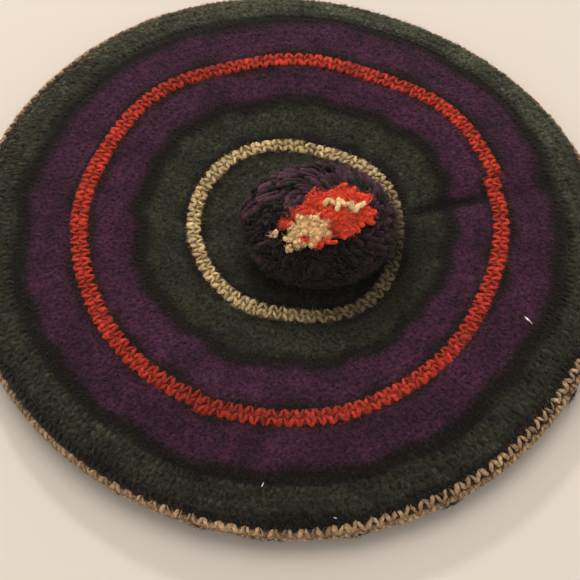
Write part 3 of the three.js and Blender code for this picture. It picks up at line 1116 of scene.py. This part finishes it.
    def fuzz(self, count, random):
        """Loose fibres that stand off the yarn all over the pompom."""
        up = random.uniform(-0.7, 1, count)
        unit = ball_points(up, random.uniform(-math.pi, math.pi, count))
        plan = unit[:, :2] * self.reach[:2] / MM
        bare = np.array([patch_at(place, 1) is None for place in plan])
        dusty = 0.2 + 0.8 * self.behind(plan)[:, None]
        wool = dye_of("black") + (dye_of("dusty") - dye_of("black")) * dusty
        wool = wool * random.uniform(0.4, 1.5, (count, 1))
        self.stand_off(
            "pompom_purple_fuzz", unit[bare], wool[bare], "purple", 1, (-2.4, 0), (1.4, 3.6), random)
        unit, cream, _ = self.patch_points(0.32, random)
        kept = ~cream | (random.uniform(size=len(cream)) < 0.85)
        unit, cream = unit[kept], cream[kept]
        curls = self.on_curls(700, random)
        unit = np.concatenate([unit, curls])
        cream = np.concatenate([cream, np.full(len(curls), True)])
        for yarn, chosen in (("red", ~cream), ("cream", cream)):
            name = "pompom_" + yarn + "_fuzz"
            dyes = dye_of(POMPOM_DYES[yarn]) * random.uniform(1, 1.2, (chosen.sum(), 1))
            self.stand_off(name, unit[chosen], dyes, yarn, 1.5, (-0.5, 1.6), (0.7, 1.9), random)

    def on_curls(self, count, random):
        """Points on the unit ball scattered along the cream curls."""
        ends = np.array(CURLS).reshape(-1, 3, 2)[random.integers(len(CURLS), size=count)]
        t = random.uniform(size=(count, 1))
        place = (1 - t) ** 2 * ends[:, 0] + 2 * (1 - t) * t * ends[:, 1] + t ** 2 * ends[:, 2]
        return self.onto_ball(place + random.normal(0, 0.5, place.shape))

    def stand_off(self, name, unit, dyes, yarn, coarse, heights, lengths, random):
        """One joined piece of fibres that start some mm off the pompom's surface and are some mm long."""
        count = len(unit)
        above = unit_length(unit / self.reach)
        out, _ = square_to(above, random.normal(size=(count, 3)))
        here = self.middle + unit * self.reach + above * random.uniform(*heights, (count, 1)) * MM
        template = tube(3, 1)
        radius = coarse * bpy.context.scene.beret_yarn.fibre_radius
        lengths = random.uniform(*lengths, count) * MM
        places = bent_fibres(here, out, above, lengths, radius, template, random)
        places[..., 2] = np.maximum(places[..., 2], self.base)
        dyes = np.broadcast_to(dyes[:, None], places.shape)
        joined_tubes(name, template, places, dyes, material_named(loose_fibre), yarn + "_wool")

    def behind(self, plan):
        """How far a place lies to the back of the pompom, where its wool is dusty purple."""
        return smoothstep(plan[:, 1] - 0.05 * plan[:, 0], -5, 8)

    def combed(self, unit, sway, random):
        """Surface points of the pompom, the way out of it and the way its yarn is combed: outwards from the
        knot of bright yarn, and round the pompom at its back."""
        count = len(unit)
        surface = unit * self.reach * random.uniform(0.94, 1.0, (count, 1))
        rise = unit_length(unit / self.reach)
        comb = (surface - np.array((*KNOT, 0)) * MM) * (1.5, 0.7, 0)
        round_it = np.stack([-surface[:, 1], surface[:, 0], np.zeros(count)], axis=1)
        behind = self.behind(surface[:, :2] / MM)[:, None]
        comb = comb * (1 - 0.75 * behind) + 1.2 * round_it * behind
        comb = comb + sway + random.normal(0, 2.5 * MM, (count, 3))
        comb -= rise * np.sum(comb * rise, axis=1, keepdims=True)
        far = np.linalg.norm(comb, axis=1, keepdims=True)
        return surface, rise, comb / far * np.minimum(1, far / (6 * MM))

    def yarn(self, root, crook, tip, rise, thick, template, random):
        """Corner places of yarns that bend from a root past a crook to a tip, half thicknesses in mm."""
        t = template.along[None, :, None]
        count = len(root)
        # The last corner is drawn back, so that the end is blunt
        t = np.where(t == 1, 0.93, t)
        line = (1 - t) ** 2 * root[:, None] + 2 * (1 - t) * t * crook[:, None] + t ** 2 * tip[:, None]
        course = 2 * (1 - t) * (crook - root)[:, None] + 2 * t * (tip - crook)[:, None]
        side, over = square_to(course, rise[:, None] + 0.3 * rise[:, None, ::-1])
        phase = random.uniform(0, 2 * math.pi, (count, 1, 1))
        line = line + side * 0.5 * MM * t * np.sin(phase + 7 * t)
        around = template.around[None, :, None]
        plies = 1 + 0.12 * np.cos(3 * (around + 5 * t) + phase)
        taper = np.where((t == 0) | (t == 0.93), 0, 1 - 0.3 * t ** 3)
        width = thick[:, None, None] * MM * taper * plies
        places = self.middle + line + width * (side * np.cos(around) + over * np.sin(around))
        places[..., 2] = np.maximum(places[..., 2], self.base)
        return places

    def lay(self, name, yarn, slot, template, places, tone, shaded, random):
        """One joined piece of yarns, each a little lighter or darker than the next, with roots darkened by
        painted shade.
        """
        tone = tone * random.normal(1, 0.12, len(places)).clip(0.6, 1.4)
        # Painted shade: the yarn darkens towards its root, between the strands
        kept_share = 1 - shaded * (1 - smoothstep(template.along, 0.2, 0.9))
        dyes = dye_of(yarn) * (tone[:, None] * kept_share)[..., None]
        joined_tubes(name, template, places, dyes, material_named(plied_yarn), slot + "_wool")


def spread_points(count, random):
    """Points spread evenly over a unit ball, all but its flattened foot."""
    index = np.arange(count)
    up = (1 - 1.75 * (index + 0.5) / count + random.normal(0, 0.02, count)).clip(-0.8, 1)
    return ball_points(up, index * math.pi * (3 - math.sqrt(5)) + random.normal(0, 0.1, count))


def ball_points(up, turn):
    """Points on a unit ball by their height and the way round it."""
    out = np.sqrt(1 - up * up)
    return np.stack([out * np.cos(turn), out * np.sin(turn), up], axis=1)


def patch_at(place, grow):
    """The patch of bright yarn at a place on the pompom, in mm right of and behind its middle. Patches are
    lobed, because their yarn ends lie in tufts."""
    for patch in POMPOM_PATCHES:
        turn = math.radians(patch.turn)
        x, y = place[0] - patch.x, place[1] - patch.y
        along = x * math.cos(turn) + y * math.sin(turn)
        across = y * math.cos(turn) - x * math.sin(turn)
        along, across = along / patch.half_x, across / patch.half_y
        lobes = 1 + 0.12 * math.sin(8 * math.atan2(across, along))
        if math.hypot(along, across) < grow * lobes:
            return patch
    return None


def square_to(course, hint):
    """Two directions square to a course and to each other, the first square to a hint as well."""
    course = unit_length(course)
    side = unit_length(np.cross(course, hint))
    return side, np.cross(course, side)


class BERET_OT_fibres(bpy.types.Operator):
    """Draws the nap and the loose fibres that stand off the cloth, and the lint and tufts on it"""

    bl_idname = "beret.fibres"
    bl_label = "Loose fibres"

    def execute(self, context):
        wall = WallLine()
        random = random_for(4)
        spans = {"green": [], "purple": [], "black": []}
        start = 0
        for dye in CROWN_DYES[:-1]:
            spans[dye.yarn].append((start * MM, min(dye.to * MM, wall.cream_from)))
            start = dye.to
        for yarn, stretches in spans.items():
            self.nap(yarn + "_nap", wall, stretches, yarn, 0.5 if yarn == "black" else 1, 1, random)
        for yarn, middle, reach in (("cream", CREAM_RING_MIDDLE, 3.4), ("red", RED_RING_MIDDLE, 4.2)):
            ring = ((middle - reach) * MM, (middle + reach) * MM)
            self.nap(yarn + "_ring_nap", wall, [ring], yarn, 1.2, 0.7, random)
        self.nap("rim_nap", wall, [(wall.cream_from, wall.cream_to)], "worn_cream", 0.8, 0.6, random)
        self.halo(wall, random)
        self.lint(wall)
        self.tufts(wall, random)
        return {"FINISHED"}

    def nap(self, name, wall, stretches, yarn, thickly, long, random):
        """Short fibres scattered evenly over some stretches of the cloth, lying over any way."""
        sizes = bpy.context.scene.beret_yarn
        areas = np.array([math.pi * (stop ** 2 - start ** 2) for start, stop in stretches])
        count = round(areas.sum() / MM ** 2 * sizes.nap_density * thickly)
        chosen = random.choice(len(areas), count, p=areas / areas.sum())
        near, far = np.array(stretches)[chosen].T
        along = np.sqrt(near ** 2 + (far ** 2 - near ** 2) * random.uniform(size=count))
        angle = random.uniform(-math.pi, math.pi, count)
        lengths = long * sizes.fibre_length * random.uniform(0.5, 1.6, count)
        bright = yarn in ("red", "cream", "worn_cream")
        strayed = along + random.normal(0, 1 * MM, count)
        # Bright fibres take the rings' painted shadow and darker stretches; dark ones take the cloth's dye
        # and painted shade
        dyes = soiled(yarn, angle)[:, None] * dye_of(yarn) if bright else cloth_dye(strayed, angle)
        tone = random.uniform(0.6, 1, (count, 1)) if bright else random.uniform(0.5, 1.8, (count, 1))
        dyes = dyes * (tone * 0.7 if yarn == "black" else tone)
        # A few fibres are bare of dye and catch the light
        if not bright:
            dyes = dyes + np.where(random.uniform(size=(count, 1)) < 0.1, 0.05, 0)
        slot = "cream" if yarn == "worn_cream" else yarn
        self.scatter(name, wall, along, angle, lengths, sizes.fibre_radius, dyes, slot, random)

    def halo(self, wall, random):
        """Long fine hairs that stand off the edge of the hat, seen against what lies behind it."""
        sizes = bpy.context.scene.beret_yarn
        count = sizes.halo
        along = wall.rim + random.uniform(*HALO_SPAN, count) * MM
        angle = random.uniform(-math.pi, math.pi, count)
        lengths = sizes.fibre_length * random.uniform(1.2, 3, count)
        cream = 0.1 + 0.8 * np.maximum(0, np.cos(angle - math.radians(HALO_CREAM_ANGLE))) ** 4
        dyes = 0.5 * dye_of("green") + (cream * random.uniform(0.2, 1, count))[:, None] * dye_of("cream")
        radius = 0.6 * sizes.fibre_radius
        self.scatter("edge_halo", wall, along, angle, lengths, radius, dyes, "green", random)

    def lint(self, wall):
        """Pale flecks that lie on the nap."""
        template = tube(5, 3)
        share = template.along[:, None]
        around = template.around[:, None]
        fullness = np.sqrt(np.abs(np.sin(math.pi * share)))
        places = []
        for fleck in LINT:
            turn = math.radians(fleck.turn)
            course = np.array((math.cos(turn), math.sin(turn), 0))
            side, over = square_to(course, np.array((0, 0, 1)))
            angle = np.array([math.radians(fleck.angle)])
            middle = wall.place(np.array([fleck.along * MM]), angle, np.array([LINT_LIFT * MM]))
            line = middle + fleck.long * MM * (share - 0.5) * course
            thick = (0.1 + 0.055 * fleck.long) * MM * fullness
            places.append(line + thick * (side * np.cos(around) + over * np.sin(around)))
        dyes = np.broadcast_to(dye_of("lint"), (len(LINT), len(share), 3))
        joined_tubes("lint", template, np.array(places), dyes, material_named(loose_fibre), "cream_wool")

    def tufts(self, wall, random):
        """Dark tufts that hang below the rim."""
        count = len(TUFTS) * TUFT_FIBRES
        tuft_angle, tuft_along = np.repeat(np.array(TUFTS, float), TUFT_FIBRES, axis=0).T
        along = wall.rim + tuft_along * MM + random.normal(0, 1.6 * MM, count)
        angle = np.radians(tuft_angle) + random.normal(0, 0.01, count)
        lengths = 3.6 * MM * random.uniform(0.6, 1.3, count)
        dyes = dye_of("black") * random.uniform(0.8, 1.2, (count, 1))
        self.scatter("rim_tufts", wall, along, angle, lengths, 0.12 * MM, dyes, "black", random)

    def scatter(self, name, wall, along, angle, lengths, radius, dyes, yarn, random):
        """One joined piece of fibres."""
        template = tube(3, 1)
        places = fibres(wall, along, angle, lengths, radius, template, random)
        dyes = np.broadcast_to(dyes[:, None], places.shape)
        joined_tubes(name, template, places, dyes, material_named(loose_fibre), yarn + "_wool")


def fibres(wall, along, angle, lengths, radius, template, random):
    """Corner places of thin fibres that rise from the cloth and bend over."""
    step = 0.5 * MM
    root = np.full(len(along), -FIBRE_ROOT * MM)
    here = wall.place(along, angle, root)
    out = unit_length(wall.place(along + step, angle, root) - here)
    above = unit_length(wall.place(along, angle, root + step) - here)
    return bent_fibres(here, out, above, lengths, radius, template, random)


def bent_fibres(here, out, above, lengths, radius, template, random):
    """Corner places of thin fibres from their roots, each bent over some way round from out."""
    count = len(here)
    beside = np.cross(out, above)
    way = random.uniform(-math.pi, math.pi, (count, 1))
    flat = np.cos(way) * out + np.sin(way) * beside
    turn = -np.sin(way) * out + np.cos(way) * beside
    rise = random.uniform(0.3, 0.9, (count, 1))
    curl = random.normal(0, 0.5, (count, 1))
    t = template.along[None, :, None]
    reach = lengths[:, None, None]
    line = here[:, None] + reach * (
        t * flat[:, None] + (rise[:, None] * (t - 0.75 * t * t)) * above[:, None]
        + curl[:, None] * t * t * turn[:, None])
    side, over = square_to((flat + 0.3 * rise * above)[:, None], above[:, None])
    around = template.around[None, :, None]
    taper = np.where((t == 0) | (t == 1), 0, 1 - 0.4 * t)
    places = line + radius * taper * (side * np.cos(around) + over * np.sin(around))
    places[..., 2] = np.maximum(places[..., 2], 0)
    return places


class BERET_PT_panel(bpy.types.Panel):
    """Lists the steps that build the beret in the sidebar"""

    bl_idname = "BERET_PT_panel"
    bl_label = "Knit Beret"
    bl_space_type = "VIEW_3D"
    bl_region_type = "UI"
    bl_category = "Beret"

    def draw(self, context):
        for step in STEPS:
            self.layout.operator(step.bl_idname)


STEPS = (
    BERET_OT_stage,
    BERET_OT_cloth,
    BERET_OT_fulled_rounds,
    BERET_OT_ring_rounds,
    BERET_OT_head_band,
    BERET_OT_pompom,
    BERET_OT_fibres,
)
SETTINGS = {
    "beret_wall": BeretWall,
    "beret_yarn": BeretYarn,
    "beret_pompom": BeretPompom,
    "beret_stage": BeretStage,
}
CLASSES = (*SETTINGS.values(), *STEPS, BERET_PT_panel)


def register():
    """Adds the beret's settings, operators and panel to Blender."""
    for item in CLASSES:
        bpy.utils.register_class(item)
    for name, group in SETTINGS.items():
        setattr(bpy.types.Scene, name, bpy.props.PointerProperty(type=group))


def unregister():
    """Takes them out again."""
    for name in SETTINGS:
        delattr(bpy.types.Scene, name)
    for item in reversed(CLASSES):
        bpy.utils.unregister_class(item)


def main():
    """Builds the beret on its stage."""
    register()
    bpy.ops.beret.stage()
    bpy.ops.beret.cloth()
    bpy.ops.beret.fulled_rounds()
    bpy.ops.beret.ring_rounds()
    bpy.ops.beret.head_band()
    bpy.ops.beret.pompom()
    bpy.ops.beret.fibres()


if __name__ == "__main__":
    main()
